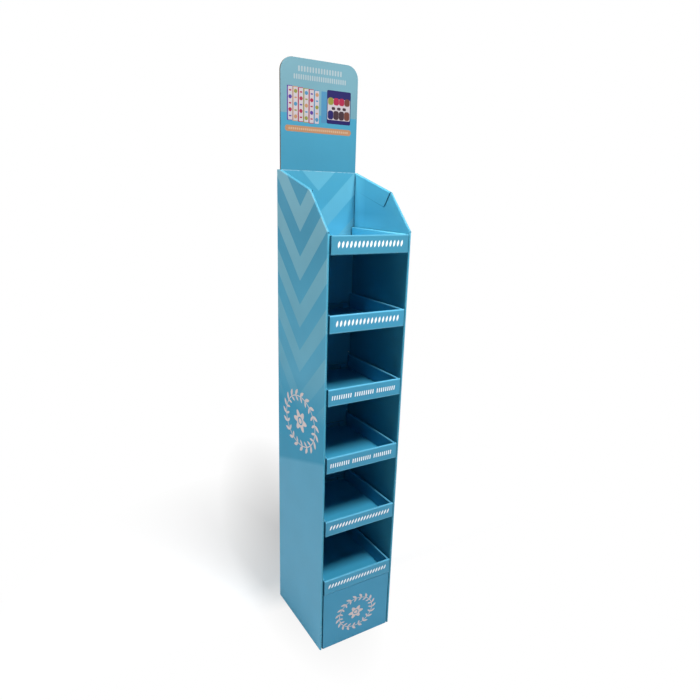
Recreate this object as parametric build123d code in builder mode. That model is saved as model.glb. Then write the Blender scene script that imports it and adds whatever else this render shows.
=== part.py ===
from build123d import *
import os
from math import hypot

os.makedirs("parts", exist_ok=True)

# Driving dimensions, in millimetres. X runs along the front, the front looks towards -Y, Z is up,
# and the origin is at the bottom centre of the whole stand.
stand_width = 241.0
body_depth = 281.0

board = 2.8  # one thickness of corrugated board
ply_gap = 0.4  # air between the two plies of a folded wall
bend_slack = 0.1  # inner radius of every bend

# The trays and what they stand on
base_height = 188.0
tray_count = 6
tray_pitch = 190.0
tray_height = 46.0
tray_side_clearance = 3.7
tray_back_gap = 0.6
lip_overhang = 2.0
back_flange_height = 18.0
back_flange_relief = 8.0  # how far the flange stops short of the rolled side walls
corner_gap = 0.3
ply_rest = 0.2  # the rolled ply's foot stands this far above the floor

# Locking tabs of the rolled walls, and the hanging tabs
lock_tab_width = 26.0
lock_tab_offset = 62.0
hang_tab_width = 40.0
hang_tab_offset = 78.0
back_tab_offset = 60.0
tab_play = 0.3
notch_slack = 0.5

# The body's sloping wall tops
lip_below_wall = 7.0
front_slope_rise = 92.0
front_slope_run = 91.0
back_slope_rise = 48.0
wall_flat = 15.0
flange_width = 60.0

# The flap that folds over the upper slope
flap_depth = 43.0
flap_front_taper = 14.0
flap_back_taper = 30.0
flap_gap = 0.2
flap_corner = 4.0

# The back liner and the header card
liner_side_gap = 1.5
header_rise = 269.0
header_plies = 2
header_side_gap = 0.3
header_corner = 34.0
pocket_gap = 0.2
seat_gap = 0.2

# The riser box at the bottom
base_side_gap = 3.0
base_recess = 0.5
glue_flap = 30.0

# Values worked out from the driving dimensions
half_board = board / 2
bend_radius = half_board + bend_slack
wall = 2 * board + ply_gap
half_width = stand_width / 2
inner_x = half_width - wall
front_y = (lip_overhang - body_depth) / 2
back_y = front_y + body_depth

header_back = back_y - wall - pocket_gap
header_front = header_back - header_plies * board
liner_back = header_front - pocket_gap
liner_front = liner_back - board

top_tray = base_height + (tray_count - 1) * tray_pitch
wall_front_height = top_tray + tray_height + lip_below_wall
wall_break_height = wall_front_height + front_slope_rise
wall_back_height = wall_break_height + back_slope_rise
stand_height = wall_back_height + header_rise
slope_front = (front_y, wall_front_height)
slope_break = (front_y + front_slope_run, wall_break_height)
slope_back = (back_y - wall_flat, wall_back_height)

tray_half = inner_x - tray_side_clearance
back_flange_half = tray_half - wall - back_flange_relief
lip_y = front_y - lip_overhang
tray_back = liner_front - tray_back_gap
hang_tab_reach = tray_side_clearance + board
back_tab_end = header_back - tab_play
hang_tab_places = (front_y + hang_tab_offset, tray_back - hang_tab_offset)
tray_levels = [base_height + n * tray_pitch for n in range(tray_count)]


def folded_sheet(points):
    """Draw a folded sheet's section: the middle line of the board, one board thick, with round bends."""
    with BuildLine() as section:
        FilletPolyline(*points, radius=bend_radius)
    trace(section.edges(), line_width=board)


def block(low, high, mode=Mode.ADD):
    """Add or cut a box, given by two opposite corners."""
    size = [b - a for a, b in zip(low, high)]
    middle = [(a + b) / 2 for a, b in zip(low, high)]
    with Locations(tuple(middle)):
        Box(*size, mode=mode)


def body_plan():
    """List the corners of the sheet's plan, from one back flange round the body to the other."""
    inner_ply = inner_x + half_board
    outer_ply = half_width - half_board
    flange = back_y - board - ply_gap - half_board
    left = [
        (flange_width - inner_x, flange),
        (-inner_ply, flange),
        (-inner_ply, front_y + half_board),
        (-outer_ply, front_y + half_board),
        (-outer_ply, back_y - half_board),
    ]
    right = [(-x, y) for x, y in reversed(left)]
    return left + right


def make_body():
    """Make the one-sheet body: back, double side walls with sloping tops, flaps and flanges."""
    beyond = 2 * board
    front_slope = front_slope_rise / front_slope_run
    slope_length = hypot(back_slope_rise, slope_back[0] - slope_break[0])
    with BuildPart() as body:
        with BuildSketch(Plane.XY):
            folded_sheet(body_plan())
        extrude(amount=wall_back_height)

        # The two slopes, cut through both side walls
        with BuildSketch(Plane.YZ):
            with BuildLine():
                Polyline(
                    (slope_back[0], slope_back[1] + beyond),
                    slope_back,
                    slope_break,
                    (front_y - beyond, wall_front_height - beyond * front_slope),
                    (front_y - beyond, slope_back[1] + beyond),
                    close=True,
                )
            make_face()
        extrude(amount=stand_width, both=True, mode=Mode.SUBTRACT)

        # The folded top edges close the gap between the plies along both slopes
        with BuildSketch(Plane.YZ.offset(inner_x + board)):
            with BuildLine():
                Polyline(
                    slope_back,
                    slope_break,
                    (slope_front[0] + board, slope_front[1] + board * front_slope),
                    (slope_front[0] + board, slope_front[1] + board * (front_slope - 1)),
                    (slope_break[0], slope_break[1] - board),
                    (slope_back[0], slope_back[1] - board),
                    close=True,
                )
            make_face()
        right_edge = extrude(amount=ply_gap)
        mirror(right_edge, about=Plane.YZ)

        # The flap over the upper slope: its bend on top of the inner ply, then the flap itself
        flap_plane = Plane(
            origin=(inner_x - flap_gap, slope_break[0], slope_break[1]),
            x_dir=(0, slope_back[0] - slope_break[0], back_slope_rise),
            z_dir=(-1, 0, 0),
        )
        with BuildSketch(flap_plane):
            with BuildLine():
                Polyline(
                    (0, 0),
                    (slope_length, 0),
                    (slope_length - flap_back_taper, flap_depth),
                    (flap_front_taper, flap_depth),
                    close=True,
                )
            make_face()
            fillet(vertices().group_by(Axis.Z)[0], flap_corner)
        flap = extrude(amount=board)
        with BuildSketch(flap_plane):
            with Locations((slope_length / 2, board / 2)):
                Rectangle(slope_length, board)
        flap_bend = extrude(amount=-flap_gap)
        mirror(flap, about=Plane.YZ)
        mirror(flap_bend, about=Plane.YZ)

        # Slots in the inner plies for the trays' hanging tabs
        for level in tray_levels:
            for place in hang_tab_places:
                for low_x in (inner_x - board, -inner_x - board - ply_gap / 2):
                    block(
                        (low_x, place - hang_tab_width / 2 - tab_play, level - tab_play),
                        (
                            low_x + 2 * board + ply_gap / 2,
                            place + hang_tab_width / 2 + tab_play,
                            level + board + tab_play,
                        ),
                        mode=Mode.SUBTRACT,
                    )
    body.part.label = "body"
    return body.part


def make_liner():
    """Make the flat back liner, with a slot for each back tab of the trays."""
    half = inner_x - liner_side_gap
    with BuildPart() as liner:
        block((-half, liner_front, 0), (half, liner_back, wall_back_height))
        for level in tray_levels:
            for place in (-back_tab_offset, back_tab_offset):
                block(
                    (place - hang_tab_width / 2 - tab_play, liner_front - board, level - tab_play),
                    (place + hang_tab_width / 2 + tab_play, liner_back + board, level + board + tab_play),
                    mode=Mode.SUBTRACT,
                )
    liner.part.label = "back_liner"
    return liner.part


def make_header():
    """Make the header card: two boards thick, round at the top, its tail resting on the top tray's tabs."""
    foot = top_tray + board + seat_gap
    width = 2 * (inner_x - header_side_gap)
    with BuildPart() as header:
        with BuildSketch(Plane.XZ.offset(-header_back)):
            with Locations((0, (foot + stand_height) / 2)):
                Rectangle(width, stand_height - foot)
            fillet(vertices().group_by(Axis.Z)[-1], header_corner)
        extrude(amount=header_plies * board)
    header.part.label = "header_card"
    return header.part


def make_base():
    """Make the riser box: a top with four skirts folded down, and glue flaps in its corners."""
    half = inner_x - base_side_gap
    skirt = half - half_board
    front = front_y + base_recess
    back = tray_back
    front_join = front + board + corner_gap
    back_join = back - board - corner_gap
    top = base_height - half_board
    flap_top = base_height - board - corner_gap
    with BuildPart() as base:
        with BuildSketch(Plane.YZ.offset(-half)):
            folded_sheet([(front + half_board, 0), (front + half_board, top), (front_join, top)])
            folded_sheet([(back_join, top), (back - half_board, top), (back - half_board, 0)])
        extrude(amount=2 * half)
        with BuildSketch(Plane.XZ.offset(-back_join)):
            folded_sheet([(-skirt, 0), (-skirt, top), (skirt, top), (skirt, 0)])
        extrude(amount=back_join - front_join)
        for low_y in (front_join, back_join - board):
            block((board - half, low_y, 0), (board - half + glue_flap, low_y + board, flap_top))
            block((half - board - glue_flap, low_y, 0), (half - board, low_y + board, flap_top))
    base.part.label = "base_box"
    return base.part


def tray_lock_tabs(level):
    """Cut the floor's slots and add the tabs of the rolled plies that lock into them."""
    inner_ply = lip_y + board + ply_gap
    side_ply = tray_half - wall
    side_middle = (lip_y + tray_back) / 2
    tabs = []
    for place in (-lock_tab_offset, lock_tab_offset):
        tabs.append(((place - lock_tab_width / 2, inner_ply), (place + lock_tab_width / 2, inner_ply + board)))
        for low_x in (side_ply, -side_ply - board):
            low_y = side_middle + place - lock_tab_width / 2
            tabs.append(((low_x, low_y), (low_x + board, low_y + lock_tab_width)))
    for low, high in tabs:
        block(
            (low[0] - tab_play, low[1] - tab_play, level - board),
            (high[0] + tab_play, high[1] + tab_play, level + board),
            mode=Mode.SUBTRACT,
        )
        block((*low, level), (*high, level + 2 * board))


def tray_hang_tabs(level):
    """Cut the notches left by the hanging tabs, and add the tabs at the floor's level."""
    half_tab = hang_tab_width / 2
    notch = hang_tab_reach + board + notch_slack
    for place in hang_tab_places:
        for side in (-1, 1):
            outer = sorted((side * (tray_half - board), side * (tray_half + board)))
            reach = sorted((side * (tray_half - 2 * board), side * (tray_half + hang_tab_reach)))
            block(
                (outer[0], place - half_tab, level - board),
                (outer[1], place + half_tab, level + notch),
                mode=Mode.SUBTRACT,
            )
            block((reach[0], place - half_tab, level), (reach[1], place + half_tab, level + board))
    for place in (-back_tab_offset, back_tab_offset):
        block(
            (place - half_tab, tray_back - board, level - board),
            (place + half_tab, tray_back + board, level + notch + board),
            mode=Mode.SUBTRACT,
        )
        block((place - half_tab, tray_back - 2 * board, level), (place + half_tab, back_tab_end, level + board))


def make_tray(number, level):
    """Make one tray: floor, rolled double lip and side walls, low back flange and its tabs."""
    join = lip_y + wall + corner_gap
    back_join = tray_back - board - corner_gap
    floor = level + half_board
    rim = level + tray_height - half_board
    foot = level + board + ply_rest
    outer_ply = tray_half - half_board
    inner_ply = outer_ply - board - ply_gap
    back_ply = tray_back - half_board
    left = [(-inner_ply, foot), (-inner_ply, rim), (-outer_ply, rim), (-outer_ply, floor)]
    right = [(-x, z) for x, z in reversed(left)]
    with BuildPart() as tray:
        with BuildSketch(Plane.YZ.offset(-tray_half)):
            folded_sheet(
                [
                    (lip_y + board + ply_gap + half_board, foot),
                    (lip_y + board + ply_gap + half_board, rim),
                    (lip_y + half_board, rim),
                    (lip_y + half_board, floor),
                    (join, floor),
                ]
            )
        extrude(amount=2 * tray_half)
        with BuildSketch(Plane.YZ.offset(-back_flange_half)):
            folded_sheet([(back_join, floor), (back_ply, floor), (back_ply, level + back_flange_height)])
        extrude(amount=2 * back_flange_half)
        with BuildSketch(Plane.XZ.offset(-back_join)):
            folded_sheet(left + right)
        extrude(amount=back_join - join)
        tray_lock_tabs(level)
        tray_hang_tabs(level)
    tray.part.label = f"tray_{number}"
    return tray.part


pieces = [make_body(), make_liner(), make_header(), make_base()]
pieces += [make_tray(number, level) for number, level in enumerate(tray_levels, start=1)]
for piece in pieces:
    export_step(piece, f"parts/{piece.label}.step")
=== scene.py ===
"""Looks of the cardboard display stand: folded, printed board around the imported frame.

Every sheet is a grid of points on the board's middle surface. The board's two faces and its cut edges follow
from that grid. Lengths are in millimetres in the classes and in metres in the meshes.
"""

from __future__ import annotations

import logging
import math
from collections.abc import Iterable
from dataclasses import dataclass
from enum import Enum, IntEnum

import bpy
import numpy as np
from mathutils import Matrix, Vector

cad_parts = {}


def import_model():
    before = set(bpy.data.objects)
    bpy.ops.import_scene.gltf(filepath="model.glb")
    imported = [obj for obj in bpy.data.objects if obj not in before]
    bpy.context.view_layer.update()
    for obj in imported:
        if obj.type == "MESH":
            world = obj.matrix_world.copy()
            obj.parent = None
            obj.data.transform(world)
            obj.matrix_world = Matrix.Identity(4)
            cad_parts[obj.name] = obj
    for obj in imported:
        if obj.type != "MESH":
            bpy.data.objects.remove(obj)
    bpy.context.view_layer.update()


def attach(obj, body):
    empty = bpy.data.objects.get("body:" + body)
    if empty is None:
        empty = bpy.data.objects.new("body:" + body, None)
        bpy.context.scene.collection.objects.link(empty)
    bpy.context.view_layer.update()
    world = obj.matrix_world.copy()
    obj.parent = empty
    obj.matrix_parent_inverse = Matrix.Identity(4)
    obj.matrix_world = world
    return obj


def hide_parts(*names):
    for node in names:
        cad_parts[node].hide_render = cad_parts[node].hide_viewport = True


Pair = tuple[float, float]
Triple = tuple[float, float, float]
Colour = tuple[float, float, float, float]
Cut = tuple[float, float, float, float]
Axes = tuple[int, int, int]
Screen = tuple[int, int, int]
Material = bpy.types.Material
Socket = bpy.types.NodeSocket
Sockets = bpy.types.bpy_prop_collection
Tree = bpy.types.NodeTree
Value = "Socket | float"
Inputs = dict[str | int, object]

MM = 0.001
STRAIGHT_TURN = 1e-6
LEVEL_SPAN = 1e-9
SHARP_FOLD = math.radians(40)
SUPPORT_ROOM = 3
LOG = logging.getLogger("stand")


# Sizes


@dataclass(frozen=True)
class Slope:
    """A straight stretch of the side walls' top: depth and height of its lower and its upper end."""

    start: Pair
    end: Pair

    @property
    def length(self) -> float:
        """Length along the slope."""
        return math.dist(self.start, self.end)

    @property
    def way(self) -> Pair:
        """Run and rise for each millimetre of the slope's length."""
        return (self.end[0] - self.start[0]) / self.length, (self.end[1] - self.start[1]) / self.length

    @property
    def angle(self) -> float:
        """Angle of the slope to the floor."""
        return math.atan2(self.way[1], self.way[0])


@dataclass(frozen=True)
class Sizes:
    """Sizes that the stand's pieces share, in millimetres, as the solids have them."""

    board: float = 2.8
    ply_gap: float = 0.4
    bend: float = 1.5
    fold_support: float = 0.9
    flute_pitch: float = 6.5
    half_width: float = 120.5
    front: float = -139.5
    back: float = 141.5
    lip: float = -141.5
    wall_front: float = 1191.0
    wall_break: float = 1283.0
    wall_back: float = 1331.0
    break_place: float = -48.5
    flat_place: float = 126.5
    height: float = 1600.0
    base_height: float = 188.0
    tray_pitch: float = 190.0
    tray_count: int = 6
    tray_height: float = 46.0
    tray_half: float = 110.8
    tray_back: float = 126.1
    liner_front: float = 126.7
    header_front: float = 129.7
    tab_play: float = 0.3
    hang_tab: float = 40.0
    hang_reach: float = 6.5
    hang_places: Pair = (-61.5, 48.1)
    back_tab_places: Pair = (-60.0, 60.0)
    back_tab_end: float = 135.0

    @property
    def half_board(self) -> float:
        """Half of one board's thickness."""
        return self.board / 2

    @property
    def wall(self) -> float:
        """Thickness of a wall of two plies."""
        return 2 * self.board + self.ply_gap

    @property
    def inner(self) -> float:
        """Half of the clear width between the body's walls."""
        return self.half_width - self.wall

    @property
    def half_slot(self) -> float:
        """Half the width of a hanging tab's slot."""
        return self.hang_tab / 2 + self.tab_play

    @property
    def levels(self) -> list[float]:
        """Heights of the trays' undersides, lowest first."""
        return [self.base_height + n * self.tray_pitch for n in range(self.tray_count)]

    @property
    def slot_heights(self) -> list[Pair]:
        """Lower and upper end of the hanging tabs' slots, for each tray."""
        return [(level - self.tab_play, level + self.board + self.tab_play) for level in self.levels]

    @property
    def front_slope(self) -> Slope:
        """The steep slope at the front of the side walls' top."""
        return Slope((self.front, self.wall_front), (self.break_place, self.wall_break))

    @property
    def back_slope(self) -> Slope:
        """The gentle slope behind it."""
        return Slope((self.break_place, self.wall_break), (self.flat_place, self.wall_back))


S = Sizes()


def about(place: float, half: float) -> Pair:
    """Give the span that reaches a half width to both sides of a place."""
    return place - half, place + half


def ends(places: Iterable[float], half: float) -> list[float]:
    """List the ends of the spans about several places."""
    return [end for place in places for end in about(place, half)]


def beside(side: int, near: float, far: float) -> Pair:
    """Give a span on the right side, or its mirror image on the left, with its lower end first."""
    return (near, far) if side > 0 else (-far, -near)


def mirrored(left: list[Pair]) -> list[Pair]:
    """Carry a section on to the right side by its mirror image."""
    return left + [(-across, up) for across, up in reversed(left)]


def grid(*values: float) -> np.ndarray:
    """Sort grid places and drop repeats."""
    return np.unique(np.round(np.array(values, float), 4))


# Sheets of board


class Side(IntEnum):
    """The faces of a sheet, in the order of a piece's materials."""

    PRINT = 0
    REVERSE = 1
    OPEN_EDGE = 2
    SHUT_EDGE = 3


class Flutes(Enum):
    """Which way the board's flutes run on a sheet: along its folded line, or across it."""

    ALONG = "along"
    ACROSS = "across"


@dataclass
class FoldLine:
    """A folded line as arrays: points, normals to the left of its run, the run so far, and where it bends."""

    points: np.ndarray
    normals: np.ndarray
    run: np.ndarray
    bent: np.ndarray

    def run_at(self, part: int, value: float, near: float = 0.0) -> float:
        """Find the run where a coordinate reaches a value, nearest to a given run.

        Args:
            part: 0 for the points' first coordinate, 1 for the second.
            value: the value to reach.
            near: the run that the place has to be nearest to.

        Returns:
            The run, from the line's start.
        """
        here, there = self.points[:-1, part] - value, self.points[1:, part] - value
        spans = np.nonzero((here * there <= 0) & (np.abs(here - there) > LEVEL_SPAN))[0]
        share = here[spans] / (here[spans] - there[spans])
        runs = self.run[spans] + share * (self.run[spans + 1] - self.run[spans])
        return float(runs[np.argmin(np.abs(runs - near))])

    def both(self, low: float, high: float) -> tuple[Pair, Pair]:
        """Give a span of the run, and the same span from the line's other end."""
        return (low, high), (self.run[-1] - high, self.run[-1] - low)


def fold_line(corners: list[Pair], steps: int = 5) -> FoldLine:
    """Round a line's corners into bends.

    Each corner becomes an arc of the bend's radius, tangent to both runs: the normal turns by equal angles,
    and each point lies the radius from the arc's centre along its normal. A point on either side of each arc
    keeps a flat run flat, where the run has room for it. Corners that don't turn stay as single points, which
    are the places of cuts.

    Args:
        corners: the line's corners, in order.
        steps: spans in each arc.

    Returns:
        The line's arrays.
    """
    path = np.array(corners, float)
    legs = np.diff(path, axis=0)
    lengths = np.linalg.norm(legs, axis=1)
    ways = legs / lengths[:, None]
    lefts = np.stack([-ways[:, 1], ways[:, 0]], axis=1)
    crossed = ways[:-1, 0] * ways[1:, 1] - ways[:-1, 1] * ways[1:, 0]
    turns = np.arctan2(crossed, np.sum(ways[:-1] * ways[1:], axis=1))
    cuts = np.concatenate([[0.0], S.bend * np.tan(np.abs(turns) / 2), [0.0]])
    roomy = lengths - cuts[:-1] - cuts[1:] > SUPPORT_ROOM * S.fold_support
    rows = []

    def put(points: np.ndarray, normals: np.ndarray, bent: float = 0.0) -> None:
        """Add a point or an arc's points to the line."""
        both = np.hstack([np.atleast_2d(points), np.atleast_2d(normals)])
        rows.append(np.insert(both, both.shape[1], bent, axis=1))

    put(path[0], lefts[0])
    for i, turn in enumerate(turns, start=1):
        before = lefts[i - 1]
        if abs(turn) < STRAIGHT_TURN:
            put(path[i], before)
            continue
        angle = np.linspace(0.0, turn, steps + 1)[:, None]
        normals = np.cos(angle) * before - np.sin(angle) * ways[i - 1]
        start = path[i] - ways[i - 1] * cuts[i]
        arc = start + math.copysign(S.bend, turn) * (before - normals)
        if roomy[i - 1]:
            put(start - ways[i - 1] * S.fold_support, before)
        put(arc, normals, 1.0)
        if roomy[i]:
            put(arc[-1] + ways[i] * S.fold_support, lefts[i])
    put(path[-1], lefts[-1])
    table = np.concatenate(rows)
    spans = np.linalg.norm(np.diff(table[:, :2], axis=0), axis=1)
    return FoldLine(table[:, :2], table[:, 2:4], np.concatenate([[0.0], np.cumsum(spans)]), table[:, 4])


@dataclass
class Sheet:
    """A sheet of board on a grid: rows along the folded line, columns across it.

    The printed face is the middle surface plus half a thickness along the normals, the reverse is minus it,
    and each side of a kept cell that no kept cell joins gets a cut edge between the two faces.
    """

    middle: np.ndarray
    normals: np.ndarray
    flat: np.ndarray
    bent: np.ndarray
    keep: np.ndarray
    flutes: Flutes = Flutes.ACROSS
    thickness: float = S.board
    turned: bool = False
    reverse_printed: bool = False

    def flip(self) -> None:
        """Print the sheet on its other face."""
        self.normals = -self.normals
        self.turned = not self.turned

    def faces(self) -> tuple[np.ndarray, ...]:
        """Work out the sheet's mesh: its two faces and its cut edges.

        Returns:
            Vertices, quads, the quads' flat coordinates and sides, and the vertices' bends.
        """
        rows, cols = self.middle.shape[:2]
        count = rows * cols
        lift = self.normals * self.thickness / 2
        vertices = np.concatenate([self.middle + lift, self.middle - lift]).reshape(-1, 3)
        index = np.arange(count).reshape(rows, cols)
        flat = self.flat.reshape(-1, 2)
        row, col = np.nonzero(self.keep)
        top = np.stack([index[row + a, col + b] for a, b in ((0, 0), (1, 0), (1, 1), (0, 1))], 1)
        reverse = Side.PRINT if self.reverse_printed else Side.REVERSE
        parts = [(top, flat[top], Side.PRINT), (top[:, ::-1] + count, flat[top[:, ::-1]], reverse)]
        kept = np.pad(self.keep, 1)
        neighbours = ((kept[1:, 1:-1], kept[:-1, 1:-1]), (kept[1:-1, 1:], kept[1:-1, :-1]))
        for axis, (here, ahead) in enumerate(neighbours):
            opened = (axis == 1) == (self.flutes is Flutes.ACROSS)
            for low in (True, False):
                row, col = np.nonzero(here & ~ahead if low else ahead & ~here)
                first = index[row, col]
                second = index[row, col + 1] if axis == 0 else index[row + 1, col]
                quad = np.stack([first + count, second + count, second, first], 1)
                if low != (axis == 1):
                    quad = quad[:, ::-1]
                along, across = flat[:, 1 - axis][quad % count], np.where(quad < count, 1.0, -1.0)
                edge = np.stack([along, across], -1)
                parts.append((quad, edge, Side.OPEN_EDGE if opened else Side.SHUT_EDGE))
        quads, maps = (np.concatenate([part[n] for part in parts]) for n in (0, 1))
        sides = np.repeat([int(part[2]) for part in parts], [len(part[0]) for part in parts])
        if self.flutes is Flutes.ALONG:
            broad = sides < Side.OPEN_EDGE
            maps[broad] = maps[broad][..., ::-1]
        if self.turned:
            quads, maps = quads[:, ::-1], maps[:, ::-1]
        return vertices, quads, maps, sides, np.tile(np.repeat(self.bent, cols), 2)


def swept(
    line: FoldLine, spots: np.ndarray, plane: Axes, cuts: Iterable[Cut] = (), **options: object
) -> Sheet:
    """Carry a folded line straight along the axis that its plane leaves out.

    A grid point is the line's point in the plane, with the spot as its third coordinate.

    Args:
        line: the folded line.
        spots: the places of the grid's columns, one row for all points or one row for each.
        plane: the axes of the line's first and second coordinates and of the sweep.
        cuts: holes as run from, run to, spot from, spot to.
        options: the sheet's other fields.

    Returns:
        The sheet.
    """
    spots = np.broadcast_to(spots, (len(line.run), np.shape(spots)[-1]))
    middle = np.zeros(spots.shape + (3,))
    normals = np.zeros_like(middle)
    for part in (0, 1):
        middle[..., plane[part]] = line.points[:, part : part + 1]
        normals[..., plane[part]] = line.normals[:, part : part + 1]
    middle[..., plane[2]] = spots
    run = np.broadcast_to(line.run[:, None], spots.shape)
    keep = np.ones((spots.shape[0] - 1, spots.shape[1] - 1), bool)
    mid_run, mid_spot = (line.run[1:] + line.run[:-1]) / 2, (spots[:-1, 1:] + spots[:-1, :-1]) / 2
    for low, high, left, right in cuts:
        inside = (mid_run[:, None] > low) & (mid_run[:, None] < high)
        keep &= ~(inside & (mid_spot > left) & (mid_spot < right))
    odd = plane in ((0, 1, 2), (1, 2, 0), (2, 0, 1))
    return Sheet(middle, normals, np.stack([run, spots], -1), line.bent, keep, turned=odd, **options)


def plate(spans: tuple[Pair, Pair, Pair], thin: int) -> Sheet:
    """Make a small flat piece of board.

    Args:
        spans: its span along each axis.
        thin: the axis of its thickness.

    Returns:
        The sheet.
    """
    first, second = [axis for axis in range(3) if axis != thin]
    level, thickness = sum(spans[thin]) / 2, spans[thin][1] - spans[thin][0]
    line = fold_line([(end, level) for end in spans[first]])
    return swept(line, np.array(spans[second]), (first, thin, second), thickness=thickness)


def build_piece(
    name: str, sheets: list[Sheet], materials: list[Material], nodes: list[str]
) -> bpy.types.Object:
    """Join sheets into one object with its flat map and bend attribute, and set it in the frame.

    Args:
        name: the piece's name.
        sheets: its sheets of board.
        materials: one for each member of Side.
        nodes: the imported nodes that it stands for.

    Returns:
        The object.
    """
    parts = [sheet.faces() for sheet in sheets]
    offsets = np.cumsum([0] + [len(part[0]) for part in parts[:-1]])
    vertices, maps, sides, bent = (np.concatenate([part[n] for part in parts]) for n in (0, 2, 3, 4))
    quads = np.concatenate([part[1] + offset for part, offset in zip(parts, offsets)])
    used, quads = np.unique(quads, return_inverse=True)
    quads = quads.reshape(-1, 4)
    mesh = bpy.data.meshes.new(name)
    mesh.vertices.add(len(used))
    mesh.loops.add(quads.size)
    mesh.polygons.add(len(quads))
    mesh.vertices.foreach_set("co", (vertices[used] * MM).astype(np.float32).ravel())
    mesh.loops.foreach_set("vertex_index", quads.astype(np.int32).ravel())
    mesh.polygons.foreach_set("loop_start", np.arange(0, quads.size, 4, dtype=np.int32))
    mesh.update(calc_edges=True)
    mesh.polygons.foreach_set("material_index", sides.astype(np.int32))
    mesh.polygons.foreach_set("use_smooth", np.ones(len(quads), bool))
    scale = np.where(sides < Side.OPEN_EDGE, MM, 1.0)[:, None, None]
    layer = mesh.uv_layers.new(name="flat")
    layer.data.foreach_set("uv", (maps * scale).astype(np.float32).ravel())
    attribute = mesh.attributes.new("bend", "FLOAT", "POINT")
    attribute.data.foreach_set("value", bent[used].astype(np.float32))
    for material in materials:
        mesh.materials.append(material)
    mesh.validate()
    mesh.set_sharp_from_angle(angle=SHARP_FOLD)
    piece = bpy.data.objects.new(name, mesh)
    bpy.context.scene.collection.objects.link(piece)
    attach(piece, "root")
    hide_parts(*nodes)
    LOG.info("%s: %d faces", name, len(quads))
    return piece


# Inks and shader graphs


def linear(red: int, green: int, blue: int) -> Colour:
    """Turn a screen colour of 0 to 255 into a linear one.

    Up to the toe, a share is divided by the toe's slope. Past it, the share and the offset are divided by one
    and the offset, and raised to the power.

    Args:
        red: the red part.
        green: the green part.
        blue: the blue part.

    Returns:
        The three linear shares, and one for full cover.
    """
    toe, slope, offset, power = 0.04045, 12.92, 0.055, 2.4
    parts = [part / 255 for part in (red, green, blue)]
    return (*[c / slope if c <= toe else ((c + offset) / (1 + offset)) ** power for c in parts], 1.0)


class Ink(Enum):
    """The print's colours, as screen colours."""

    SIDE_TOP = (61, 135, 163)
    SIDE_MID = (78, 153, 182)
    SIDE_LOW = (81, 156, 187)
    SIDE_BAND = (43, 140, 174)
    CHEVRON_TOP = (106, 158, 175)
    CHEVRON_LOW = (99, 162, 184)
    LINER = (66, 146, 172)
    # painted light: the liner's lower part, lit by the front lamp and by light off the floor
    LINER_LOW_LIT = (74, 160, 190)
    LINER_CHEVRON = (88, 161, 183)
    TRAY = (62, 158, 193)
    # painted light: paler ink inside the top tray, which the top light reaches
    TRAY_TOP_LIT = (92, 184, 210)
    LIP = (66, 148, 182)
    LIP_TOP = (66, 140, 168)
    INNER = (84, 175, 203)
    # painted light: lighter ink at the top compartment's foot and back corner, and on the top tray's walls
    INNER_BACK_LIT = (124, 222, 245)
    # painted shade: darker ink on the inner walls below the top compartment
    INNER_LOW_SHADED = (56, 144, 171)
    SLOPE = (66, 150, 176)
    # painted shadow under the flap's foot on the inner wall
    FLAP_SHADOW = (24, 104, 138)
    BASE = (64, 146, 181)
    HEADER_TOP = (96, 137, 149)
    HEADER_LOW = (58, 132, 158)
    REVERSE_TOP = (122, 166, 178)
    REVERSE_LOW = (80, 158, 188)
    # painted highlight on the rounded folds
    FOLD_HIGHLIGHT = (122, 206, 238)
    CRACK = (176, 208, 218)
    # bare paper on the liner's worn top edge, and painted light where light from behind shows through the
    # back corner
    WORN_AND_GAP_LIGHT = (190, 214, 222)
    CREAM = (205, 192, 190)
    WHITE = (244, 248, 250)
    CARD_WHITE = (168, 160, 164)
    PALE = (142, 156, 161)
    SAND = (176, 146, 120)
    ORANGE = (158, 116, 84)
    CRIMSON = (139, 23, 56)
    PURPLE = (67, 39, 121)
    NAVY = (12, 3, 72)
    BROWN = (86, 43, 34)
    CHOCOLATE = (47, 26, 35)
    OLIVE = (117, 117, 45)
    SKY = (62, 117, 149)


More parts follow.
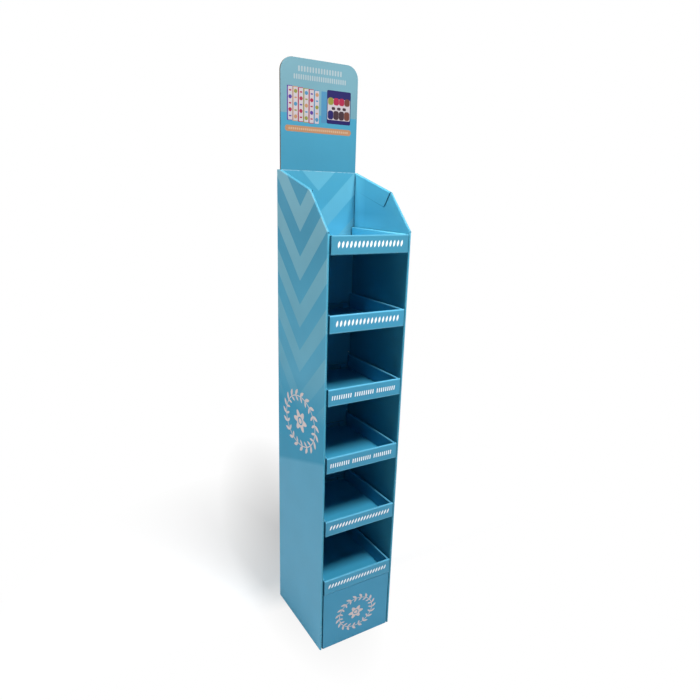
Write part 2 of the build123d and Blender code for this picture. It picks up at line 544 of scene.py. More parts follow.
class Graph:
    """Short calls for the nodes of one tree."""

    def __init__(self, tree: Tree) -> None:
        """Keep the tree."""
        self.tree = tree

    def node(self, kind: str, inputs: Inputs | None = None, **settings: object) -> bpy.types.Node:
        """Add a node, set its properties, and feed its inputs by name or number.

        Args:
            kind: the node's type.
            inputs: sockets or values for its inputs.
            settings: its properties.

        Returns:
            The node.
        """
        made = self.tree.nodes.new(kind)
        for key, value in settings.items():
            setattr(made, key, value)
        for key, value in (inputs or {}).items():
            self.feed(made.inputs[key], value)
        return made

    def feed(self, socket: Socket, value: object) -> None:
        """Link a socket to another, or set its own value; an ink gives its linear colour.

        Args:
            socket: the input.
            value: the socket, ink or value that it gets.
        """
        if isinstance(value, bpy.types.NodeSocket):
            self.tree.links.new(value, socket)
        else:
            socket.default_value = linear(*value.value) if isinstance(value, Ink) else value

    def math(self, operation: str, *values: Value, clamp: bool = False) -> Socket:
        """Add a Math node."""
        inputs = dict(enumerate(values))
        return self.node("ShaderNodeMath", inputs, operation=operation, use_clamp=clamp).outputs[0]

    def add(self, first: Value, second: Value) -> Socket:
        """Add two values."""
        return self.math("ADD", first, second)

    def less(self, first: Value, second: Value) -> Socket:
        """Take one value from another."""
        return self.math("SUBTRACT", first, second)

    def times(self, first: Value, second: Value) -> Socket:
        """Multiply two values."""
        return self.math("MULTIPLY", first, second)

    def largest(self, *values: Value) -> Socket:
        """Take the largest of several values.

        Args:
            values: sockets or numbers.

        Returns:
            The largest.
        """
        result = values[0]
        for value in values[1:]:
            result = self.math("MAXIMUM", result, value)
        return result

    def reach(self, across: Socket, up: Socket) -> Socket:
        """Give the distance from the centre: the root of both squares' sum."""
        return self.math("SQRT", self.add(self.times(across, across), self.times(up, up)))

    def below(self, value: Value, edge: Value, soft: float = 0.25) -> Socket:
        """Mask the places where a value is below an edge: a half less its excess over the soft width."""
        return self.math("MULTIPLY_ADD", self.less(value, edge), -1.0 / soft, 0.5, clamp=True)

    def above(self, value: Value, edge: Value, soft: float = 0.25) -> Socket:
        """Mask the places where a value is above an edge."""
        return self.below(edge, value, soft)

    def within(self, value: Value, half: Value, soft: float = 0.25) -> Socket:
        """Mask the places where a value is nearer to zero than a half width."""
        return self.below(self.math("ABSOLUTE", value), half, soft)

    def beyond(self, value: Value, half: Value) -> Socket:
        """Mask the places where a value is farther from zero than a half width."""
        return self.below(half, self.math("ABSOLUTE", value))

    def mix(self, mask: Value, under: object, over: object) -> Socket:
        """Lay one colour over another by a mask."""
        inputs = {"Factor": mask, "A": under, "B": over}
        return self.node("ShaderNodeMix", inputs, data_type="RGBA").outputs["Result"]

    def ramp(self, value: Socket, low: float, high: float, first: float = 0.0, last: float = 1.0) -> Socket:
        """Map a value's range from low to high to the one from first to last, kept within it."""
        inputs = dict(enumerate((value, low, high, first, last)))
        return self.node("ShaderNodeMapRange", inputs).outputs["Result"]

    def spot(self) -> Socket:
        """Give the piece's own coordinates in metres."""
        return self.node("ShaderNodeTexCoord").outputs["Object"]

    def noise(self, scale: float, detail: float = 3.0, rough: float = 0.5) -> Socket:
        """Give a noise over the piece's own coordinates."""
        inputs = {"Vector": self.spot(), "Scale": scale, "Detail": detail, "Roughness": rough}
        return self.node("ShaderNodeTexNoise", inputs).outputs["Fac"]

    def scaled(self, vector: Socket, factor: Value) -> Socket:
        """Multiply a vector or a colour by a value."""
        return self.node("ShaderNodeVectorMath", {0: vector, "Scale": factor}, operation="SCALE").outputs[0]

    def length(self, vector: Socket) -> Socket:
        """Give a vector's length."""
        return self.node("ShaderNodeVectorMath", {0: vector}, operation="LENGTH").outputs["Value"]

    def parts(self, vector: Socket) -> tuple[Socket, Socket, Socket]:
        """Split a vector."""
        return tuple(self.node("ShaderNodeSeparateXYZ", {0: vector}).outputs)

    def place(self) -> tuple[Socket, Socket, Socket]:
        """Give the piece's own coordinates in millimetres."""
        return self.parts(self.scaled(self.spot(), 1 / MM))

    def flat(self) -> tuple[Socket, Socket, Socket]:
        """Give the flat sheet's coordinates: metres on its faces, millimetres and -1 to 1 on its edges."""
        return self.parts(self.node("ShaderNodeUVMap", uv_map="flat").outputs[0])

    def flutes(self, run: Socket, pitch: float) -> Socket:
        """Give the flutes' wave: the sine of the run, once round for each pitch."""
        return self.math("SINE", self.times(run, 2 * math.pi / pitch))


def new_group(name: str, inputs: dict[str, Value], outputs: dict[str, str]) -> tuple[Graph, Sockets, Sockets]:
    """Start a node group.

    Args:
        name: the group's name.
        inputs: first values by name, four numbers for a colour and one for a value.
        outputs: socket kinds by name.

    Returns:
        The group's graph, the inputs' sockets and the outputs' sockets.
    """
    tree = bpy.data.node_groups.new(name, "ShaderNodeTree")
    for key, value in inputs.items():
        kind = "NodeSocketFloat" if isinstance(value, float) else "NodeSocketColor"
        tree.interface.new_socket(key, in_out="INPUT", socket_type=kind).default_value = value
    for key, kind in outputs.items():
        tree.interface.new_socket(key, in_out="OUTPUT", socket_type=kind)
    graph = Graph(tree)
    return graph, graph.node("NodeGroupInput").outputs, graph.node("NodeGroupOutput").inputs


# Printed shapes


@dataclass(frozen=True)
class Mark:
    """One plain shape: a round bar, or where it has an angle, a leaf whose first half size runs along it."""

    half: Pair
    corner: float = 0.0
    angle: float | None = None


@dataclass(frozen=True)
class Row:
    """A mark repeated in equal steps about a centre, leaned by a slant, and parted where it has groups.

    The spare steps keep every place on the sheet past zero before it is cut into steps.
    """

    mark: Mark
    pitch: float
    count: int
    centre: Pair
    slant: float = 0.0
    group: float = 0.0
    group_share: float = 1.0
    spare_steps: int = 8


class Shapes:
    """Node groups for the simple printed shapes: each turns a place in millimetres into a mask."""

    spot = ("Across", "Up", "Centre across", "Centre up", "Half across", "Half up")

    def __init__(self) -> None:
        """Build the groups once; the wreath places the leaf's."""
        self.bar, self.leaf = self.make_bar(), self.make_leaf()
        self.wreath = self.make_wreath()

    def start(self, name: str, **numbers: float) -> tuple[Graph, Sockets, Socket, Socket, Socket]:
        """Start a shape's group.

        Args:
            name: the group's name.
            numbers: its inputs besides the place, the centre and the half sizes, with their first values.

        Returns:
            The graph, its inputs, the place from the centre across and up, and the mask's socket.
        """
        inputs = dict.fromkeys(self.spot, 1.0) | numbers
        graph, given, out = new_group(name, inputs, {"Mask": "NodeSocketFloat"})
        across = graph.less(given["Across"], given["Centre across"])
        return graph, given, across, graph.less(given["Up"], given["Centre up"]), out["Mask"]

    def put(
        self, graph: Graph, tree: Tree, place: tuple[Value, Value], centre: Pair, half: Pair, **numbers: float
    ) -> Socket:
        """Place one shape's group at a centre, with its half sizes and its other numbers."""
        values = dict(zip(self.spot, (*place, *centre, *half)))
        return graph.node("ShaderNodeGroup", values | numbers, node_tree=tree).outputs[0]

    def make_bar(self) -> Tree:
        """Round bar: the distance outside a smaller box, less the corner's radius; at its largest, a disc.

        Returns:
            The group's tree.
        """
        graph, given, across, up, mask = self.start("round bar", Corner=1.0)
        past = []
        for value, half in ((across, "Half across"), (up, "Half up")):
            straight = graph.less(given[half], given["Corner"])
            past.append(graph.largest(graph.less(graph.math("ABSOLUTE", value), straight), 0.0))
        graph.feed(mask, graph.below(graph.reach(*past), given["Corner"]))
        return graph.tree

    def make_leaf(self) -> Tree:
        """Leaf: at each place along it, its half width times one less the squared share of its half length.

        Returns:
            The group's tree.
        """
        graph, given, across, up, mask = self.start("leaf", Angle=0.0, Soft=0.25)
        cos, sin = graph.math("COSINE", given["Angle"]), graph.math("SINE", given["Angle"])
        along = graph.add(graph.times(across, cos), graph.times(up, sin))
        aside = graph.less(graph.times(up, cos), graph.times(across, sin))
        share = graph.math("DIVIDE", along, given["Half across"])
        room = graph.times(given["Half up"], graph.less(1.0, graph.times(share, share)))
        outside = graph.math("DIVIDE", graph.less(graph.math("ABSOLUTE", aside), room), given["Soft"])
        graph.feed(mask, graph.math("SUBTRACT", 0.5, outside, clamp=True))
        return graph.tree

    def make_wreath(self) -> Tree:
        """Wreath: leaves on both sides of a ring, repeated by equal turns, with a flower in the middle.

        The turn about the centre is cut into equal sectors. A place along the ring is the turn's share of its
        sector less a half, times the sector's length, and one across it is the reach less the ring's.
        The flower's rim is a circle whose radius waves with the turn. Lengths are shares of half the height.

        Returns:
            The group's tree.
        """
        sectors, ring, stem, stem_soft, soft = 19, 0.77, 0.014, 0.006, 0.008
        lean, foot, fill = math.radians(52), -0.080, 0.94
        leaves = ((1, 0.128, 0.047), (-1, 0.108, 0.040))
        petals, rim, swing, eye, eye_line = 6.0, 0.270, 0.075, 0.105, 0.022
        graph, given, across, up, mask = self.start("wreath")
        across = graph.times(across, graph.math("DIVIDE", given["Half up"], given["Half across"]))
        reach = graph.math("DIVIDE", graph.reach(across, up), given["Half up"])
        turn = graph.math("ARCTAN2", up, across)
        share = graph.math("FRACT", graph.times(graph.add(turn, math.pi), sectors / (2 * math.pi)))
        along = graph.times(graph.less(share, 0.5), 2 * math.pi * ring / sectors)
        off = graph.less(reach, ring)
        masks = [graph.within(off, stem, stem_soft)]
        for side, length, width in leaves:
            centre = (foot + math.cos(lean) * length, side * math.sin(lean) * length)
            numbers = {"Angle": side * lean, "Soft": soft}
            masks.append(self.put(graph, self.leaf, (along, off), centre, (length * fill, width), **numbers))
        wave = graph.math("MULTIPLY_ADD", graph.math("COSINE", graph.times(turn, petals)), swing, rim)
        hole = graph.within(graph.less(reach, eye), eye_line, soft)
        masks.append(graph.less(graph.below(reach, wave, soft), hole))
        graph.feed(mask, graph.largest(*masks))
        return graph.tree

    def mark(self, graph: Graph, place: tuple[Value, Value], centre: Pair, mark: Mark) -> Socket:
        """Draw one mark about a centre.

        Args:
            graph: the material's graph.
            place: the place across and up.
            centre: the mark's centre.
            mark: the mark.

        Returns:
            The mark's mask.
        """
        if mark.angle is None:
            return self.put(graph, self.bar, place, centre, mark.half, Corner=mark.corner)
        return self.put(graph, self.leaf, place, centre, mark.half, Angle=mark.angle)

    def row(self, graph: Graph, across: Socket, up: Socket, row: Row) -> Socket:
        """Draw a row: the place across is leaned by the slant and cut into steps, with one mark in each.

        Args:
            graph: the material's graph.
            across: the place across.
            up: the place up.
            row: the row.

        Returns:
            The row's mask.
        """
        up = graph.less(up, row.centre[1])
        along = graph.less(graph.less(across, row.centre[0]), graph.times(up, row.slant))
        half = row.pitch * row.count / 2
        step = graph.math("MODULO", graph.add(along, half + row.spare_steps * row.pitch), row.pitch)
        mark = self.mark(graph, (graph.less(step, row.pitch / 2), up), (0.0, 0.0), row.mark)
        mask = graph.times(mark, graph.within(along, half))
        if row.group:
            share = graph.math("FRACT", graph.math("DIVIDE", graph.add(along, half), row.group))
            mask = graph.times(mask, graph.math("LESS_THAN", share, row.group_share))
        return mask


@dataclass(frozen=True)
class Chevrons:
    """Bands bent to a point: its height and its shift aside, one band's step, and the rise of the sides."""

    apex: float
    shift: float
    step: float
    slope: float
    soft: float = 0.8
    quarter: float = 0.25

    def draw(self, graph: Graph, aside: Socket, up: Socket) -> Socket:
        """Mask every other band of the drop below the apex, which grows by the rise times the distance aside.

        The mask is how much nearer than a quarter the drop's share of two steps is to a band's middle.

        Args:
            graph: the material's graph.
            aside: the place aside.
            up: the height.

        Returns:
            The bands' mask.
        """
        off = graph.math("ABSOLUTE", graph.less(aside, self.shift))
        drop = graph.less(self.apex, graph.less(up, graph.times(off, self.slope)))
        share = graph.math("FRACT", graph.math("DIVIDE", drop, 2 * self.step))
        near, far = (graph.math("ABSOLUTE", graph.less(share, n + self.quarter)) for n in (0, 1))
        past = graph.less(graph.math("MINIMUM", near, far), self.quarter)
        return graph.below(graph.times(past, 2 * self.step), 0.0, self.soft)


# Finishes


def new_material(name: str) -> tuple[Material, Graph]:
    """Start a material with an empty graph.

    Args:
        name: the material's name.

    Returns:
        The material and its graph.
    """
    material = bpy.data.materials.new(name)
    material.use_nodes = True
    material.node_tree.nodes.clear()
    return material, Graph(material.node_tree)


def dress(
    graph: Graph, colour: Socket, roughness: Value, height: Socket, relief: Pair, specular: float = 0.5
) -> None:
    """Join a surface's colour, roughness and relief to its material's output.

    Args:
        graph: the material's graph.
        colour: the surface's colour.
        roughness: its roughness.
        height: its relief's height.
        relief: the relief's strength, and its depth in metres.
        specular: level of its gloss.
    """
    bump = graph.node("ShaderNodeBump", {"Strength": relief[0], "Distance": relief[1], "Height": height})
    inputs = {"Base Color": colour, "Roughness": roughness, "Normal": bump.outputs[0]}
    shader = graph.node("ShaderNodeBsdfPrincipled", inputs | {"Specular IOR Level": specular})
    graph.node("ShaderNodeOutputMaterial", {0: shader.outputs[0]})


class PressGroup:
    """The effect that all printed faces share: ink mottle, cracked folds, a painted highlight on the folds,
    paper grain and the flutes' relief.

    A noise is given by its scale, its detail and its roughness.
    """

    tree_name = "printed paper"
    cloud, fibre = (9.0, 2.0), (900.0, 2.0, 0.6)
    crack, patch = (420.0, 4.0, 0.7), (26.0, 2.0)
    middle = (0.3, 0.7)
    mottle = (0.965, 1.03)
    grain = (-0.012, 0.012)
    roughness = (0.42, 0.54)
    crack_peaks = (0.60, 0.66)
    crack_patches = (0.52, 0.62)
    wave_share, fibre_share, crack_depth = 0.35, 0.5, 2.0

    def __init__(self) -> None:
        """Build the group once.

        A broad and a fine noise change the ink's tone, and a pale tint is painted on the bends as a
        highlight.
        Cracks are the peaks of a third noise in the patches of a fourth, where the sheet bends. The height is
        the flutes' wave and the fibres, less the cracks.
        """
        inputs = {"Color": (0.5, 0.5, 0.5, 1.0), "Bend": 0.0, "Wear": 1.0, "Pale": 0.3}
        outputs = {"Color": "NodeSocketColor", "Roughness": "NodeSocketFloat", "Height": "NodeSocketFloat"}
        graph, given, out = new_group(self.tree_name, inputs, outputs)
        cloud, fibre = graph.noise(*self.cloud), graph.noise(*self.fibre)
        tone = graph.ramp(cloud, *self.middle, *self.mottle)
        tone = graph.add(tone, graph.ramp(fibre, *self.middle, *self.grain))
        inked = graph.scaled(given["Color"], tone)
        peaks = graph.ramp(graph.noise(*self.crack), *self.crack_peaks)
        split = graph.times(peaks, graph.ramp(graph.noise(*self.patch), *self.crack_patches))
        split = graph.times(graph.times(split, given["Wear"]), graph.math("POWER", given["Bend"], 2.0))
        # painted highlight: the folds turn pale by their bend
        pale = graph.mix(graph.times(given["Bend"], given["Pale"]), inked, Ink.FOLD_HIGHLIGHT)
        graph.feed(out["Color"], graph.mix(split, pale, Ink.CRACK))
        graph.feed(out["Roughness"], graph.ramp(fibre, *self.middle, *self.roughness))
        wave = graph.times(graph.flutes(graph.flat()[0], S.flute_pitch * MM), self.wave_share)
        relief = graph.add(wave, graph.times(fibre, self.fibre_share))
        graph.feed(out["Height"], graph.less(relief, graph.times(split, self.crack_depth)))
        self.tree = graph.tree


class Printed:
    """A printed face: its drawing's colour, laid on paper by the shared press effect."""

    relief = (0.35, 0.00012)
    specular = 0.25
    # strength of the painted highlight on the folds
    fold_highlight = 0.12

    def __init__(self, name: str, press: PressGroup, shapes: Shapes, wear: float = 1.0) -> None:
        """Make the material; drawing fills in the colour.

        Args:
            name: the material's name.
            press: the shared effect.
            shapes: the printed shapes.
            wear: share of the folds' cracks.
        """
        self.shapes = shapes
        self.material, graph = new_material(name)
        bend = graph.node("ShaderNodeAttribute", attribute_name="bend").outputs["Fac"]
        inputs = {"Color": self.drawing(graph), "Bend": bend, "Wear": wear, "Pale": self.pale(graph)}
        out = graph.node("ShaderNodeGroup", inputs, node_tree=press.tree).outputs
        dress(graph, out["Color"], out["Roughness"], out["Height"], self.relief, self.specular)

    def drawing(self, graph: Graph) -> Socket:
        """Give the face's colour before the press effect."""
        raise NotImplementedError

    def pale(self, graph: Graph) -> Value:
        """Give how strongly the folds are painted pale as a highlight."""
        return self.fold_highlight


class BodyPrint(Printed):
    """The body's sheet: chevrons that fade down the outer sides, a slanting tone and a wreath.

    Fades are the heights or places between which one ink turns into the next.
    """

    outer_skin = 1.6
    back_skin = 1.4
    chevrons = Chevrons(apex=1243.0, shift=2.0, step=61.6, slope=0.97)
    chevron_fade = (700.0, 860.0)
    chevron_tones = (850.0, 1200.0)
    band_fade = (700.0, 800.0)
    top_fade = (950.0, 1180.0)
    low_slant = 0.345
    low_fade = (556.0, 544.0)
    wreath = ((-3.0, 672.0), (113.0, 92.0))
    # painted shade: heights over which the inner walls turn darker below the top compartment
    inner_shade_fade = (1150.0, 1190.0)
    # painted light at the top compartment's foot and back: heights, depths and the largest share of the
    # lighter ink
    lit_foot_fade = (1225.0, 1190.0)
    lit_foot_depth = (-100.0, 60.0)
    lit_back_fade = (70.0, 125.0)
    light_share = 0.75
    inner_skin = 0.2
    slope_fade = (1180.0, 1192.0)
    # painted shadow under the flap's foot: depth below the back slope, half width, softness, strength and
    # fades along the slope
    shadow_depth = 44.2
    shadow_half = 1.1
    shadow_soft = 0.6
    shadow_strength = 0.8
    shadow_fades = ((160.0, 40.0), (14.0, 18.0))

    def drawing(self, graph: Graph) -> Socket:
        """Lay the sides' design over the ink of the other faces, with painted light and shade on the inner
        sides.

        Args:
            graph: the material's graph.

        Returns:
            The colour.
        """
        x, y, z = graph.place()
        tone = self.sides(graph, y, z)
        inner = self.inner(graph, x, y, z)
        behind = graph.above(y, S.back - self.back_skin)
        inner = graph.mix(behind, inner, Ink.SIDE_LOW)
        return graph.mix(graph.beyond(x, S.half_width - self.outer_skin), inner, tone)

    def sides(self, graph: Graph, y: Socket, z: Socket) -> Socket:
        """Draw the outer sides: tones by height, chevrons and the wreath.

        Args:
            graph: the material's graph.
            y: the depth.
            z: the height.

        Returns:
            The colour.
        """
        tone = graph.mix(graph.ramp(z, *self.band_fade), Ink.SIDE_BAND, Ink.SIDE_MID)
        tone = graph.mix(graph.ramp(z, *self.top_fade), tone, Ink.SIDE_TOP)
        lean = graph.add(z, graph.times(y, self.low_slant))
        tone = graph.mix(graph.ramp(lean, *self.low_fade), tone, Ink.SIDE_LOW)
        light = graph.mix(graph.ramp(z, *self.chevron_tones), Ink.CHEVRON_LOW, Ink.CHEVRON_TOP)
        bands = graph.times(self.chevrons.draw(graph, y, z), graph.ramp(z, *self.chevron_fade))
        tone = graph.mix(bands, tone, light)
        return graph.mix(self.shapes.put(graph, self.shapes.wreath, (y, z), *self.wreath), tone, Ink.CREAM)

    def inner(self, graph: Graph, x: Socket, y: Socket, z: Socket) -> Socket:
        """Draw the inner sides: painted shade below the top compartment, painted light at its foot and back,
        and a painted shadow under the flap's foot.

        Args:
            graph: the material's graph.
            x: the place across.
            y: the depth.
            z: the height.

        Returns:
            The colour.
        """
        # painted light: lighter towards the top compartment's foot and back
        depth = graph.ramp(y, *self.lit_foot_depth, 0.0, self.light_share)
        foot = graph.times(graph.ramp(z, *self.lit_foot_fade), depth)
        lit_corner = graph.math("ADD", foot, graph.ramp(y, *self.lit_back_fade, 0.0, self.light_share), clamp=True)
        inner = graph.mix(lit_corner, Ink.INNER, Ink.INNER_BACK_LIT)
        # painted shade: darker below the top compartment
        inner = graph.mix(graph.ramp(z, *self.inner_shade_fade), Ink.INNER_LOW_SHADED, inner)
        # painted shadow under the flap's foot
        flap_shadow_mask = graph.times(self.flap_shadow(graph, y, z), self.shadow_strength)
        inner = graph.mix(flap_shadow_mask, inner, Ink.FLAP_SHADOW)
        between = graph.beyond(x, S.inner + self.inner_skin)
        return graph.mix(graph.times(between, graph.ramp(z, *self.slope_fade)), inner, Ink.SLOPE)

    def flap_shadow(self, graph: Graph, y: Socket, z: Socket) -> Socket:
        """Draw a painted shadow on the inner wall under the flap's foot.

        The place is turned into the back slope's own axes: how far along the slope, and how far above it.

        Args:
            graph: the material's graph.
            y: the depth.
            z: the height.

        Returns:
            The painted shadow's mask.
        """
        run, rise = S.back_slope.way
        off_y, off_z = graph.less(y, S.break_place), graph.less(z, S.wall_break)
        along = graph.add(graph.times(off_y, run), graph.times(off_z, rise))
        above = graph.less(graph.times(off_z, run), graph.times(off_y, rise))
        line = graph.within(graph.add(above, self.shadow_depth), self.shadow_half, self.shadow_soft)
        for fade in self.shadow_fades:
            line = graph.times(line, graph.ramp(along, *fade))
        return line


class LinerPrint(Printed):
    """The back liner: chevrons on its front, a ragged worn top edge, painted light towards its foot, and two
    painted spots of light above two trays, where light from behind shows through the back corner.
    """

    chevrons = Chevrons(apex=1219.0, shift=-3.0, step=61.2, slope=1.0)
    chevron_fade = (1090.0, 1110.0)
    # painted light: heights over which the liner's ink turns lighter towards its foot
    low_fade = (1250.0, 1185.0)
    ragged = (70.0, 4.0, 0.6)
    worn_reach, worn_shift, worn_soft, worn_share = 9.0, 3.6, 1.2, 0.45
    # painted spots of light where light from behind shows through the gap at the back corner above two trays
    chip = Mark((1.5, 1.8), 1.4)
    chip_place, chip_rise, chipped = 108.6, 7.0, (2, 3)

    def drawing(self, graph: Graph) -> Socket:
        """Lay light bands on the liner's ink, painted lighter towards its foot, bare paper where it is worn,
        and painted spots of light where light shows through the back corner.

        Args:
            graph: the material's graph.

        Returns:
            The colour.
        """
        x, _, z = graph.place()
        bands = graph.times(self.chevrons.draw(graph, x, z), graph.ramp(z, *self.chevron_fade))
        # painted light: the ink turns lighter towards the liner's foot
        ground_and_light = graph.mix(graph.ramp(z, *self.low_fade), Ink.LINER, Ink.LINER_LOW_LIT)
        tone = graph.mix(bands, ground_and_light, Ink.LINER_CHEVRON)
        ragged = graph.less(graph.times(graph.noise(*self.ragged), self.worn_reach), self.worn_shift)
        worn_and_gap_light = graph.below(graph.less(S.wall_back, z), ragged, self.worn_soft)
        worn_and_gap_light = graph.times(worn_and_gap_light, self.worn_share)
        # painted light: a pale spot where light shows through the back corner
        for tray in self.chipped:
            centre = (self.chip_place, S.levels[tray] + S.tray_height + self.chip_rise)
            worn_and_gap_light = graph.largest(worn_and_gap_light, self.shapes.mark(graph, (x, z), centre, self.chip))
        return graph.mix(worn_and_gap_light, tone, Ink.WORN_AND_GAP_LIGHT)


class HeaderPrint(Printed):
    """The header card: two tones, two rows of dashes, narrow packs, a board of packets and an orange bar."""

    split, split_soft = 1470.0, 0.6
    skin = 0.5
    rows = (
        (Ink.PALE, Row(Mark((2.3, 6.4), 1.8), 8.2, 16, (-1.0, 1575.5))),
        (Ink.PALE, Row(Mark((1.9, 6.0), 1.8), 6.5, 24, (-0.5, 1556.5))),
        (Ink.SAND, Row(Mark((1.9, 2.7), 1.2), 6.0, 30, (-3.0, 1433.5))),
    )
    bar = (Ink.ORANGE, (-3.0, 1433.5), Mark((99.0, 7.4), 7.4))
    pack_inks = (Ink.PURPLE, Ink.ORANGE, Ink.CRIMSON, Ink.OLIVE, Ink.CRIMSON, Ink.SKY)
    pack_start, pack_step = (-88.5, 1493.0), (15.5, -0.8)
    pack, pack_card, card_shift = Mark((7.6, 41.0), 2.0), Mark((6.0, 39.4), 1.5), 1.3
    dots, dot_start, dot_step = 5, -30.0, 15.0
    dot, dash = Mark((4.8, 4.8), 4.8), Mark((3.6, 1.8), 1.8)
    large_shapes = (
        (Ink.SKY, (11.5, 1491.0), Mark((8.5, 38.0), 2.0)),
        (Ink.NAVY, (56.5, 1493.5), Mark((36.5, 41.0), 4.0)),
        (Ink.CARD_WHITE, (56.5, 1488.5), Mark((34.5, 26.0), 3.0)),
    )
    packet_start, packet_step = 31.5, 16.7
    packets = (
        (1508.0, Mark((8.2, 9.0), 6.0), (Ink.OLIVE, Ink.CRIMSON, Ink.CRIMSON, Ink.BROWN)),
        (1474.5, Mark((8.2, 11.0), 6.0), (Ink.NAVY, Ink.CHOCOLATE, Ink.CHOCOLATE, Ink.BROWN)),
    )
    links, link_start, link = 3, (39.9, 1491.0), Mark((5.4, 3.6), 3.0)

    def drawing(self, graph: Graph) -> Socket:
        """Lay the header's design on its front; the reverse has two tones alone.

        Args:
            graph: the material's graph.

        Returns:
            The colour.
        """
        x, y, z = graph.place()
        upper = graph.above(z, self.split, self.split_soft)
        art = graph.mix(upper, Ink.HEADER_LOW, Ink.HEADER_TOP)
        for ink, centre, mark in self.shapes_of_front():
            art = graph.mix(self.shapes.mark(graph, (x, z), centre, mark), art, ink)
        for ink, row in self.rows:
            art = graph.mix(self.shapes.row(graph, x, z, row), art, ink)
        plain = graph.mix(upper, Ink.REVERSE_LOW, Ink.REVERSE_TOP)
        return graph.mix(graph.below(y, S.header_front + self.skin), plain, art)

    def shapes_of_front(self) -> list[tuple[Ink, Pair, Mark]]:
        """List the front's plain shapes in the order in which they are laid.

        Returns:
            Ink, centre and mark of each.
        """
        shapes, inks = [self.bar], self.pack_inks
        for n, ink in enumerate(inks):
            across, up = (start + n * step for start, step in zip(self.pack_start, self.pack_step))
            card = across + self.card_shift
            shapes += [(ink, (across, up), self.pack), (Ink.CARD_WHITE, (card, up), self.pack_card)]
            for k in range(self.dots):
                place = (card, up + self.dot_start + k * self.dot_step)
                shapes.append((inks[(n + 2 * k) % len(inks)], place, self.dot if (k + n) % 2 else self.dash))
        shapes += self.large_shapes
        start, step = self.packet_start, self.packet_step
        for up, mark, row in self.packets:
            shapes += [(ink, (start + n * step, up), mark) for n, ink in enumerate(row)]
        across, up = self.link_start
        shapes += [(Ink.CHOCOLATE, (across + n * step, up), self.link) for n in range(self.links)]
        return shapes


class BasePrint(Printed):
    """The riser box: plain ink with a wreath on its front."""

    wreath = ((-1.0, 87.0), (73.0, 62.0))
    skin = 1.0

    def drawing(self, graph: Graph) -> Socket:
        """Lay the wreath on the front skirt.

        Args:
            graph: the material's graph.

        Returns:
            The colour.
        """
        x, y, z = graph.place()
        wreath = self.shapes.put(graph, self.shapes.wreath, (x, z), *self.wreath)
        front = graph.below(y, S.front + self.skin)
        return graph.mix(graph.times(front, wreath), Ink.BASE, Ink.CREAM)


class LipRow(Enum):
    """The rows of plain white shapes on the lips, above each tray's underside."""

    SEEDS = Row(Mark((8.6, 3.0), angle=math.radians(78)), 11.3, 17, (0.0, 24.5))
    DASHES = Row(Mark((1.5, 6.0), 0.9), 6.8, 30, (0.0, 22.7), slant=0.10, group=68.0, group_share=0.91)
    LEAVES = Row(Mark((8.0, 2.5), angle=math.radians(64)), 9.9, 20, (0.0, 24.5))


class TrayPrint(Printed):
    """A tray: plain ink with a row of white shapes on its lip."""

    front_skin = 0.4
    rim_skin = 0.1
    wall_skin = 0.5
    lip_fade = (1040.0, 1140.0)
    # painted light: heights over which the top tray's inside turns lighter
    top_fade = (1141.0, 1148.0)
    # painted highlight on the folds: heights and strengths, stronger on the lower trays
    highlight_fade = (1100.0, 1150.0, 0.38, 0.10)

    def __init__(self, row: LipRow, press: PressGroup, shapes: Shapes) -> None:
        """Make the material for one kind of row."""
        self.row = row
        super().__init__(f"tray print {row.name.lower()}", press, shapes)

    def pale(self, graph: Graph) -> Socket:
        """Paint a stronger highlight on the lower trays' folds than on the top one's, which the top light
        reaches.
        """
        return graph.ramp(graph.place()[2], *self.highlight_fade)

    def drawing(self, graph: Graph) -> Socket:
        """Lay the row on the lip's outer face, and lighter ink painted as light inside the top tray.

        Args:
            graph: the material's graph.

        Returns:
            The colour.
        """
        x, y, z = graph.place()
        up = graph.math("MODULO", graph.less(z, S.base_height), S.tray_pitch)
        mask = self.shapes.row(graph, x, up, self.row.value)
        # painted light: inside the top tray the walls take the inner walls' lighter ink and the floor a paler
        # one
        walls = graph.beyond(x, S.tray_half - S.wall - self.wall_skin)
        high = graph.mix(walls, Ink.TRAY_TOP_LIT, Ink.INNER_BACK_LIT)
        high = graph.mix(graph.below(y, S.lip + S.wall + self.rim_skin), high, Ink.LIP_TOP)
        plain = graph.mix(graph.ramp(z, *self.top_fade), Ink.TRAY, high)
        front = graph.below(y, S.lip + self.front_skin)
        lip = graph.mix(graph.ramp(z, *self.lip_fade), Ink.LIP, Ink.LIP_TOP)
        return graph.mix(graph.times(mask, front), graph.mix(front, plain, lip), Ink.WHITE)


@dataclass(frozen=True)
class Kraft:
    """Plain board: the unprinted reverse. The fibre is a noise's scale, detail and roughness."""

    colour: Screen = (176, 146, 108)
    dark: Screen = (150, 120, 84)
    fibre: Triple = (700.0, 4.0, 0.65)
    fibre_tones: Pair = (0.35, 0.68)
    wave_share: float = 0.4
    roughness: float = 0.85
    relief: Pair = (0.5, 0.00015)

    def make(self) -> Material:
        """Build the material: brown paper with fibres and the flutes' faint relief.

        Returns:
            The material.
        """
        material, graph = new_material("kraft reverse")
        fibre = graph.noise(*self.fibre)
        colour = graph.mix(graph.ramp(fibre, *self.fibre_tones), linear(*self.dark), linear(*self.colour))
        wave = graph.times(graph.flutes(graph.flat()[0], S.flute_pitch * MM), self.wave_share)
        dress(graph, colour, self.roughness, graph.add(wave, fibre), self.relief)
        return material


